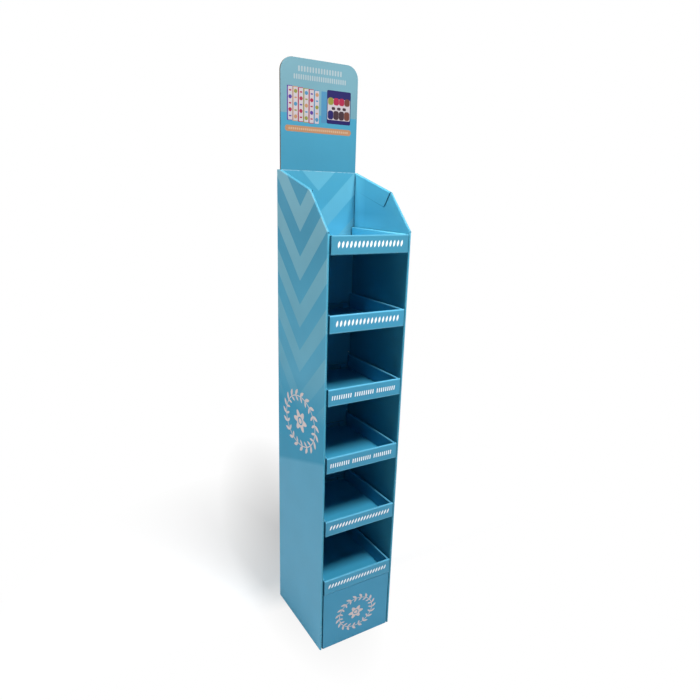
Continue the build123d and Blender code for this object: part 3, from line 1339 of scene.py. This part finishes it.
@dataclass(frozen=True)
class CutEdge:
    """The board's cut edge, with its flutes seen from their ends or from their sides."""

    name: str
    open_flutes: bool
    paper: Screen = (56, 124, 152)
    hollow: Screen = (34, 90, 116)
    worn_share: float = 0.82
    core_reach: float = 0.66
    core_line: Pair = (0.20, 0.30)
    shut_grain: float = 300.0
    shut_tones: tuple[float, ...] = (0.42, 0.62, 0.25, 1.0)
    skin: Pair = (0.74, 0.80)
    fibre: Triple = (1400.0, 3.0, 0.7)
    fibre_tones: Pair = (0.35, 0.65)
    fibre_share: float = 0.3
    roughness: float = 0.9
    relief: Pair = (0.7, 0.0004)

    def make(self) -> Material:
        """Build the material.

        Across the thickness the place runs from -1 to 1. The two papers are the outer parts. The fluted paper
        between them is where the place is near the sine of the run along the edge. The rest is dark hollow.

        Returns:
            The material.
        """
        material, graph = new_material(self.name)
        along, across, _ = graph.flat()
        if self.open_flutes:
            wave = graph.times(graph.flutes(along, S.flute_pitch), self.core_reach)
            paper = graph.ramp(graph.math("ABSOLUTE", graph.less(across, wave)), *self.core_line, 1.0, 0.0)
        else:
            paper = graph.ramp(graph.noise(self.shut_grain), *self.shut_tones)
        paper = graph.largest(paper, graph.ramp(graph.math("ABSOLUTE", across), *self.skin))
        fibre = graph.noise(*self.fibre)
        worn = linear(*[int(part * self.worn_share) for part in self.paper])
        inked = graph.mix(graph.ramp(fibre, *self.fibre_tones), worn, linear(*self.paper))
        colour = graph.mix(paper, linear(*self.hollow), inked)
        height = graph.add(paper, graph.times(fibre, self.fibre_share))
        dress(graph, colour, self.roughness, height, self.relief)
        return material


class Finishes:
    """All of the stand's materials."""

    bare_tones = (104, 96, 84), (46, 42, 36)
    header_wear = 0.6

    def __init__(self) -> None:
        """Build each finish once."""
        press, shapes = PressGroup(), Shapes()
        self.kraft = Kraft().make()
        self.edges, self.bare_edges = self.cut_edges("inked"), self.cut_edges("bare", *self.bare_tones)
        self.body = BodyPrint("body print", press, shapes).material
        self.liner = LinerPrint("liner print", press, shapes).material
        self.header = HeaderPrint("header print", press, shapes, self.header_wear).material
        self.base = BasePrint("base print", press, shapes).material
        self.trays = {row: TrayPrint(row, press, shapes).material for row in LipRow}

    @staticmethod
    def cut_edges(kind: str, *tones: Screen) -> list[Material]:
        """Make the two cut edges of one kind of board, in the order of Side."""
        return [CutEdge(f"{kind} edge {way}", way == "open", *tones).make() for way in ("open", "shut")]

    def board(self, printed: Material, bare: bool = False) -> list[Material]:
        """List a printed board's materials in the order of Side, with inked or bare cut edges."""
        return [printed, self.kraft, *(self.bare_edges if bare else self.edges)]


# Pieces


@dataclass
class Body:
    """The body: one sheet with double side walls, rolled tops, flaps and back flanges."""

    flange_width: float = 60.0
    flap_depth: float = 43.0
    flap_front_taper: float = 14.0
    flap_back_taper: float = 30.0
    flap_corner: float = 5.0
    flap_gap: float = 0.2
    fold_depth: float = 2.9
    fold_start: float = 1.2
    top_step: float = 0.1
    slope_foot: float = 1160.0
    slope_rows: int = 4
    fold_columns: int = 7
    bend_steps: int = 7
    corner_steps: int = 3
    survey_reach: float = 200.0
    survey_points: int = 4001

    def wall_top(self, place: np.ndarray) -> np.ndarray:
        """Height of the side walls' top at each depth: two slopes and a level stretch."""
        depths, heights = zip(S.front_slope.start, S.front_slope.end, S.back_slope.end)
        return np.interp(place, depths, heights)

    def main_sheet(self) -> Sheet:
        """Carry the plan upwards, each point to its own height, and cut the slots in the inner plies.

        Below a fold, a ply ends lower than the wall's top by the fold's depth times the root of one plus the
        slope's squared rise. The rows above the slopes' foot divide each point's height equally.

        Returns:
            The sheet.
        """
        inner, outer = S.inner + S.half_board, S.half_width - S.half_board
        flange = S.back - S.board - S.ply_gap - S.half_board
        stops = sorted([*ends(S.hang_places, S.half_slot), S.break_place, S.flat_place], reverse=True)
        left = [(self.flange_width - S.inner, flange), (-inner, flange)]
        left += [(-inner, place) for place in stops]
        left += [(-inner, S.front + S.half_board), (-outer, S.front + S.half_board)]
        left += [(-outer, place) for place in (S.break_place, S.flat_place - self.top_step, S.flat_place)]
        left += [(-outer, S.back - S.half_board)]
        line = fold_line(mirrored(left), self.bend_steps)
        place = line.points[:, 1]
        depths = np.linspace(-self.survey_reach, self.survey_reach, self.survey_points)
        rise = np.interp(place, depths, np.gradient(self.wall_top(depths), depths))
        drop = np.where(place < S.flat_place - self.top_step / 2, self.fold_depth * np.sqrt(1 + rise**2), 0.0)
        above = (self.wall_top(place) - drop - self.slope_foot)[:, None]
        marks = [0.0, *np.ravel(S.slot_heights), self.slope_foot]
        shared = np.broadcast_to(marks, (len(place), len(marks)))
        shares = np.arange(1, self.slope_rows + 1) / self.slope_rows
        spots = np.concatenate([shared, self.slope_foot + above * shares], axis=1)
        cuts = []
        for start in [line.run_at(1, place + S.half_slot) for place in S.hang_places]:
            for span in line.both(start, start + 2 * S.half_slot):
                cuts += [(*span, *heights) for heights in S.slot_heights]
        return swept(line, spots, (0, 1, 2), cuts)

    def rolled_top(self, slope: Slope, line: FoldLine, trims: np.ndarray, side: int) -> Sheet:
        """Carry a fold along a slope.

        A grid point is the slope's start, plus its place along the slope, plus the fold's height along the
        slope's normal. The ends are trimmed by an amount for each point of the fold.

        Args:
            slope: the stretch of the wall's top.
            line: the fold's section, across and along the normal.
            trims: place of both ends of each row.
            side: 1 for the right wall and -1 for the left.

        Returns:
            The sheet.
        """
        normal = np.array([-slope.way[1], slope.way[0]])
        runs = trims[:, :1] + (trims[:, 1:] - trims[:, :1]) * np.linspace(0.0, 1.0, self.fold_columns)
        middle, normals = np.zeros(runs.shape + (3,)), np.zeros(runs.shape + (3,))
        middle[..., 0], normals[..., 0] = side * line.points[:, :1], side * line.normals[:, :1]
        for axis in (0, 1):
            along = slope.start[axis] + runs * slope.way[axis]
            middle[..., axis + 1] = along + line.points[:, 1:] * normal[axis]
            normals[..., axis + 1] = line.normals[:, 1:] * normal[axis]
        flat = np.stack([np.broadcast_to(line.run[:, None], runs.shape), runs], -1)
        keep = np.ones((runs.shape[0] - 1, runs.shape[1] - 1), bool)
        return Sheet(middle, normals, flat, line.bent, keep, turned=side > 0)

    def fold_sheets(self) -> list[Sheet]:
        """Make the rolled tops: a narrow fold on the front slope and one with a flap on the back slope.

        Both folds are mitred where they meet. The flap's ends taper with its depth, and its lower corners are
        rounded: the nick is the radius less the root of its square less the squared depth in the corner.

        Returns:
            Both folds of the right wall, then both of the left.
        """
        outer, inner = S.half_width - S.half_board, S.inner + S.half_board
        flap = S.inner - self.flap_gap - S.half_board
        roof = [(outer, -S.half_board), (outer, -self.fold_depth)]
        mitre = math.tan((S.front_slope.angle - S.back_slope.angle) / 2)
        narrow = fold_line([(inner, -self.fold_depth), (inner, -S.half_board), *roof])
        depth = -narrow.points[:, 1]
        start = self.fold_start - depth * math.tan(S.front_slope.angle)
        trims = np.stack([start, S.front_slope.length - depth * mitre], 1)
        rounds = self.flap_corner * (1 - np.sin(np.linspace(math.pi / 2, 0.0, self.corner_steps + 1)))
        stops = [(flap, -self.flap_depth + lift) for lift in rounds]
        wide = fold_line([*stops, (flap, -S.half_board), *roof])
        depth = -wide.points[:, 1]
        on_flap = wide.points[:, 0] < S.inner
        corner = np.clip(depth - self.flap_depth + self.flap_corner, 0.0, self.flap_corner)
        nick = self.flap_corner - np.sqrt(np.maximum(self.flap_corner**2 - corner**2, 0.0))
        share = depth / self.flap_depth
        start = np.where(on_flap, self.flap_front_taper * share + nick, 0.0)
        end = S.back_slope.length - np.where(on_flap, self.flap_back_taper * share + nick, 0.0)
        wide_trims = np.stack([np.maximum(start, depth * mitre), end], 1)
        folds = ((S.front_slope, narrow, trims), (S.back_slope, wide, wide_trims))
        return [self.rolled_top(*fold, side) for side in (1, -1) for fold in folds]

    def build(self, finishes: Finishes) -> None:
        """Build the body's piece."""
        sheets = [self.main_sheet(), *self.fold_sheets()]
        build_piece("body_sheet", sheets, finishes.board(finishes.body), ["body"])


@dataclass
class Liner:
    """The flat back liner with its slots."""

    side_gap: float = 1.5

    def build(self, finishes: Finishes) -> None:
        """Build the liner's piece.

        Args:
            finishes: the stand's materials.
        """
        half, middle = S.inner - self.side_gap, S.liner_front + S.half_board
        places = grid(-half, half, *ends(S.back_tab_places, S.half_slot))
        line = fold_line([(x, middle) for x in places[::-1]])
        spans = [about(half - place, S.half_slot) for place in S.back_tab_places]
        cuts = [(*span, *heights) for span in spans for heights in S.slot_heights]
        sheet = swept(line, grid(0.0, S.wall_back, *np.ravel(S.slot_heights)), (0, 1, 2), cuts)
        build_piece("liner_sheet", [sheet], finishes.board(finishes.liner), ["back_liner"])


@dataclass
class Header:
    """The header card with its rounded top corners and its tail."""

    foot: float = 1141.0
    half: float = 114.2
    corner: float = 34.0
    corner_steps: int = 12
    plies: int = 2
    rows: tuple[float, ...] = (S.wall_back, 1470.0, 1560.0)

    def build(self, finishes: Finishes) -> None:
        """Build the header's piece.

        Each column ends on the corner's circle: its centre's height plus the root of the squared radius less
        the squared place past the centre.

        Args:
            finishes: the stand's materials.
        """
        angle = np.radians(np.linspace(0.0, 90.0, self.corner_steps + 1))
        edge = self.half - self.corner * (1 - np.sin(angle))
        places = grid(*edge, *-edge)[::-1]
        past = np.maximum(np.abs(places) - (self.half - self.corner), 0.0)
        top = S.height - self.corner + np.sqrt(np.maximum(self.corner**2 - past**2, 0.0))
        middle = S.header_front + self.plies * S.half_board
        line = fold_line([(x, middle) for x in places])
        low = np.broadcast_to([self.foot, *self.rows], (len(places), len(self.rows) + 1))
        spots = np.concatenate([low, top[:, None]], axis=1)
        sheet = swept(line, spots, (0, 1, 2), thickness=self.plies * S.board, reverse_printed=True)
        materials = finishes.board(finishes.header, bare=True)
        build_piece("header_sheet", [sheet], materials, ["header_card"])


@dataclass
class Riser:
    """The riser box: a top with four skirts and glue flaps."""

    side_gap: float = 3.0
    recess: float = 0.5
    corner_gap: float = 0.3
    glue_flap: float = 30.0
    columns: int = 9

    def build(self, finishes: Finishes) -> None:
        """Build the box's piece.

        Args:
            finishes: the stand's materials.
        """
        half = S.inner - self.side_gap
        skirt = half - S.half_board
        front, back = S.front + self.recess, S.tray_back
        joins = front + S.board + self.corner_gap, back - S.board - self.corner_gap
        top, flap_top = S.base_height - S.half_board, S.base_height - S.board - self.corner_gap
        across = np.linspace(-half, half, self.columns)
        near = fold_line([(joins[0], top), (front + S.half_board, top), (front + S.half_board, 0.0)])
        far = fold_line([(back - S.half_board, 0.0), (back - S.half_board, top), (joins[1], top)])
        middle = fold_line(mirrored([(skirt, 0.0), (skirt, top)]))
        sheets = [swept(line, across, (1, 2, 0), flutes=Flutes.ALONG) for line in (near, far)]
        sheets.append(swept(middle, np.array(joins), (0, 2, 1)))
        for sheet in sheets:
            sheet.flip()
        for low in (joins[0], joins[1] - S.board):
            for side in (-1, 1):
                flap = beside(side, half - S.board - self.glue_flap, half - S.board)
                sheets.append(plate((flap, (low, low + S.board), (0.0, flap_top)), 1))
        build_piece("base_sheet", sheets, finishes.board(finishes.base), ["base_box"])


@dataclass
class Tray:
    """One tray: floor, rolled lip and side walls, back flange and its tabs."""

    number: int
    row: LipRow
    corner_gap: float = 0.3
    ply_rest: float = 0.2
    back_flange: float = 18.0
    flange_relief: float = 8.0
    lock_tab: float = 26.0
    lock_offset: float = 62.0
    notch_slack: float = 0.5
    lip_slot_inset: float = 0.2
    wall_slot_inset: float = 0.25
    lip_columns: int = 7

    def __post_init__(self) -> None:
        """Find the tray's heights, the ends of its floor and its locking tabs' places."""
        self.level: float = S.levels[self.number - 1]
        self.floor: float = self.level + S.half_board
        self.rim: float = self.level + S.tray_height - S.half_board
        self.foot: float = self.level + S.board + self.ply_rest
        self.front_join: float = S.lip + S.wall + self.corner_gap
        self.back_join: float = S.tray_back - S.board - self.corner_gap
        self.half_lock: float = self.lock_tab / 2 + S.tab_play
        self.lip_locks: Pair = about(0.0, self.lock_offset)
        self.side_locks: Pair = about((S.lip + S.tray_back) / 2, self.lock_offset)

    def lip_sheet(self) -> Sheet:
        """Carry the lip's section across the tray, with slots in its floor strip.

        Returns:
            The sheet.
        """
        outer, inner = S.lip + S.half_board, S.lip + S.board + S.ply_gap + S.half_board
        slot = inner - S.half_board - S.tab_play + self.lip_slot_inset
        corners = [(inner, self.foot), (inner, self.rim), (outer, self.rim), (outer, self.floor)]
        line = fold_line([*corners, (slot, self.floor), (self.front_join, self.floor)])
        even = np.linspace(-S.tray_half, S.tray_half, self.lip_columns)
        spots = grid(*ends(self.lip_locks, self.half_lock), *even)
        end = line.run[-1]
        cuts = [(end - self.front_join + slot, end, *about(p, self.half_lock)) for p in self.lip_locks]
        return swept(line, spots, (1, 2, 0), cuts)

    def side_sheet(self) -> Sheet:
        """Carry the side walls' section along the tray, with the tabs' notches and the floor's slots.

        The outer wall's foot is about two of the tray's heights along the line.

        Returns:
            The sheet.
        """
        outer = S.tray_half - S.half_board
        inner = outer - S.board - S.ply_gap
        notch = self.level + S.hang_reach + S.board + self.notch_slack
        slot_end, slot_start = about(-inner, S.half_board + S.tab_play)
        slot_end += self.wall_slot_inset
        left = [(-inner, self.foot), (-inner, self.rim), (-outer, self.rim), (-outer, notch)]
        left += [(x, self.floor) for x in (-outer, S.board - S.tray_half, slot_end, slot_start)]
        line = fold_line(mirrored(left))
        half_hang, low = S.hang_tab / 2, 2 * S.tray_height
        marks = ends(self.side_locks, self.half_lock) + ends(S.hang_places, half_hang)
        notches = line.both(line.run_at(1, notch, low), line.run_at(0, S.board - S.tray_half, low))
        slots = line.both(line.run_at(0, slot_end, low), line.run_at(0, slot_start, low))
        cuts = [(*run, *about(place, half_hang)) for place in S.hang_places for run in notches]
        cuts += [(*run, *about(place, self.half_lock)) for place in self.side_locks for run in slots]
        spots = grid(self.front_join, self.back_join, *marks)
        return swept(line, spots, (0, 2, 1), cuts, flutes=Flutes.ALONG)

    def back_sheet(self) -> Sheet:
        """Carry the low back flange across the tray, with its tabs' notches.

        Returns:
            The sheet.
        """
        upright = S.tray_back - S.half_board
        notch = self.level + S.hang_reach + 2 * S.board + self.notch_slack
        corners = [(self.back_join, self.floor), (upright, self.floor), (upright, notch)]
        line = fold_line([*corners, (upright, self.level + self.back_flange)])
        half, reach = S.hang_tab / 2, S.tray_half - S.wall - self.flange_relief
        top = line.run_at(1, notch)
        cuts = [(0.0, top, *about(place, half)) for place in S.back_tab_places]
        return swept(line, grid(-reach, reach, *ends(S.back_tab_places, half)), (1, 2, 0), cuts)

    def tabs(self) -> list[Sheet]:
        """Make the hanging tabs, which lie level, and the locking tabs, which stand in the floor.

        Returns:
            One sheet for each tab.
        """
        lying, standing = (self.level, self.level + S.board), (self.level, self.foot)
        hang, lock = S.hang_tab / 2, self.lock_tab / 2
        behind, ply = (self.back_join, S.back_tab_end), S.lip + S.board + S.ply_gap
        made = [plate((about(place, hang), behind, lying), 2) for place in S.back_tab_places]
        made += [plate((about(place, lock), (ply, ply + S.board), standing), 1) for place in self.lip_locks]
        for side in (-1, 1):
            reach = beside(side, S.tray_half - S.board, S.tray_half + S.hang_reach)
            made += [plate((reach, about(place, hang), lying), 2) for place in S.hang_places]
            inside = beside(side, S.tray_half - S.wall, S.tray_half - S.wall + S.board)
            made += [plate((inside, about(place, lock), standing), 0) for place in self.side_locks]
        return made

    def build(self, finishes: Finishes) -> None:
        """Build the tray's piece, which is printed on both faces.

        Args:
            finishes: the stand's materials.
        """
        sheets = [self.lip_sheet(), self.side_sheet(), self.back_sheet(), *self.tabs()]
        for sheet in sheets:
            sheet.reverse_printed = True
        name = f"tray_{self.number}"
        build_piece(f"{name}_sheet", sheets, finishes.board(finishes.trays[self.row]), [name])


# Studio


@dataclass(frozen=True)
class Lamp:
    """A square soft lamp: its place, the point that it looks at, its side and its power."""

    name: str
    place: Triple
    aim: Triple
    side: float
    power: float

    def hang(self) -> None:
        """Add the lamp to the scene."""
        data = bpy.data.lights.new(self.name, "AREA")
        data.shape = "SQUARE"
        data.size = self.side
        data.energy = self.power
        lamp = bpy.data.objects.new(self.name, data)
        lamp.location = self.place
        lamp.rotation_euler = (Vector(self.aim) - Vector(self.place)).to_track_quat("-Z", "Y").to_euler()
        bpy.context.scene.collection.objects.link(lamp)


@dataclass
class Studio:
    """Floor, lamps, world and camera: metres and degrees, with the focal length and the centre in pixels."""

    yaw: float = 31.74
    pitch: float = 17.35
    roll: float = 1.84
    place: Triple = (-0.77821, -1.32425, 1.28624)
    focal: float = 573.98
    centre: Pair = (350.99, 369.02)
    frame: int = 700
    sensor: float = 36.0
    far: float = 60.0
    lamps: tuple[Lamp, ...] = (
        Lamp("key", (0.20, -1.29, 2.59), (0.0, 0.0, 0.8), 0.5, 60.0),
        Lamp("left", (-2.0, 0.1, 2.4), (0.0, 0.0, 0.8), 0.9, 31.0),
        Lamp("left low", (-2.2, 0.1, 1.6), (0.0, 0.0, 0.6), 0.9, 14.0),
        Lamp("right", (2.2, 0.1, 1.6), (0.0, 0.0, 0.8), 0.9, 20.0),
        Lamp("rear", (0.4, 2.4, 1.7), (0.0, 0.0, 0.8), 0.9, 26.0),
    )
    ambient: float = 0.02
    half_floor: float = 14.0
    floor_tone: float = 0.80
    floor_lift: float = 0.12
    floor_fade: Pair = (0.25, 1.05)
    front_fade: Pair = (0.206, 0.070)
    shade: float = 0.375
    shade_place: Triple = (0.092, 0.540, 0.0)
    shade_turn: float = -12.5
    shade_reach: Triple = (0.257, 0.858, 1.0)

    def camera(self) -> None:
        """Set the camera from its yaw, pitch and roll: the roll turns right and up about the view's line."""
        yaw, pitch, roll = (math.radians(angle) for angle in (self.yaw, self.pitch, self.roll))
        level = math.cos(pitch)
        ahead = Vector((math.sin(yaw) * level, math.cos(yaw) * level, -math.sin(pitch)))
        right = Vector((math.cos(yaw), -math.sin(yaw), 0.0))
        up = right.cross(ahead)
        turned = math.cos(roll) * right + math.sin(roll) * up
        raised = math.cos(roll) * up - math.sin(roll) * right
        data = bpy.data.cameras.new("camera")
        data.sensor_width = self.sensor
        data.lens = self.focal / self.frame * self.sensor
        data.shift_x = (self.frame / 2 - self.centre[0]) / self.frame
        data.shift_y = (self.centre[1] - self.frame / 2) / self.frame
        data.clip_end = self.far
        camera = bpy.data.objects.new("camera", data)
        matrix = Matrix((turned, raised, -ahead)).transposed().to_4x4()
        matrix.translation = Vector(self.place)
        camera.matrix_world = matrix
        bpy.context.scene.collection.objects.link(camera)
        bpy.context.scene.camera = camera

    def floor(self) -> None:
        """Lay a large pale floor that keeps the stand's shadow."""
        half = self.half_floor
        mesh = bpy.data.meshes.new("floor")
        corners = [(across * half, along * half, 0) for across, along in ((-1, -1), (1, -1), (1, 1), (-1, 1))]
        mesh.from_pydata(corners, [], [(0, 1, 2, 3)])
        floor = bpy.data.objects.new("floor", mesh)
        bpy.context.scene.collection.objects.link(floor)
        mesh.materials.append(self.floor_finish())

    def floor_finish(self) -> Material:
        """Make the floor's material, which turns white away from the stand for the camera.

        The share of white is the distance from the stand, mapped from its near to its far reach, or the place
        in front of it. Behind the stand a soft shade is taken off, which falls evenly from the middle of an
        oval to its rim.

        Returns:
            The material.
        """
        material, graph = new_material("floor")
        ray = graph.node("ShaderNodeLightPath").outputs["Is Camera Ray"]
        diffuse = graph.node("ShaderNodeBsdfDiffuse", {"Color": (*[self.floor_tone] * 3, 1.0)})
        glow = graph.node("ShaderNodeEmission", {"Strength": graph.times(ray, self.floor_lift)})
        lit = graph.node("ShaderNodeAddShader", {0: diffuse.outputs[0], 1: glow.outputs[0]})
        spot = graph.spot()
        far = graph.ramp(graph.length(spot), *self.floor_fade)
        front = graph.ramp(graph.parts(spot)[1], *self.front_fade)
        turn = (0.0, 0.0, math.radians(self.shade_turn))
        inputs = {"Vector": spot, "Location": self.shade_place, "Rotation": turn, "Scale": self.shade_reach}
        oval = graph.node("ShaderNodeMapping", inputs, vector_type="TEXTURE")
        shade = graph.ramp(graph.length(oval.outputs[0]), 0.0, 1.0, self.shade, 0.0)
        surface = lit.outputs[0]
        for share, strength in ((graph.largest(far, front), 1.0), (shade, 0.0)):
            tone = graph.node("ShaderNodeEmission", {"Strength": strength}).outputs[0]
            inputs = {0: graph.times(share, ray), 1: surface, 2: tone}
            surface = graph.node("ShaderNodeMixShader", inputs).outputs[0]
        graph.node("ShaderNodeOutputMaterial", {0: surface})
        return material

    def world(self) -> None:
        """Make the world white to the camera and in reflections, and softer as a light."""
        world = bpy.data.worlds.new("studio")
        bpy.context.scene.world = world
        world.use_nodes = True
        world.node_tree.nodes.clear()
        graph = Graph(world.node_tree)
        rays = graph.node("ShaderNodeLightPath").outputs
        seen = graph.largest(*[rays[f"Is {kind} Ray"] for kind in ("Camera", "Glossy", "Transmission")])
        strength = graph.ramp(seen, 0.0, 1.0, self.ambient, 1.0)
        back = graph.node("ShaderNodeBackground", {"Color": (1.0, 1.0, 1.0, 1.0), "Strength": strength})
        graph.node("ShaderNodeOutputWorld", {0: back.outputs[0]})

    def build(self) -> None:
        """Set up the whole studio."""
        self.floor()
        self.world()
        for lamp in self.lamps:
            lamp.hang()
        self.camera()
        bpy.context.scene.view_settings.view_transform = "Standard"


def main() -> None:
    """Build the stand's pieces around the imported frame."""
    logging.basicConfig(level=logging.INFO, format="%(name)s: %(message)s")
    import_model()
    finishes = Finishes()
    Studio().build()
    Body().build(finishes)
    Liner().build(finishes)
    Header().build(finishes)
    Riser().build(finishes)
    rows = [LipRow.LEAVES, LipRow.LEAVES, LipRow.DASHES, LipRow.DASHES, LipRow.SEEDS, LipRow.SEEDS]
    for number, row in enumerate(rows, start=1):
        Tray(number, row).build(finishes)


if __name__ == "__main__":
    main()
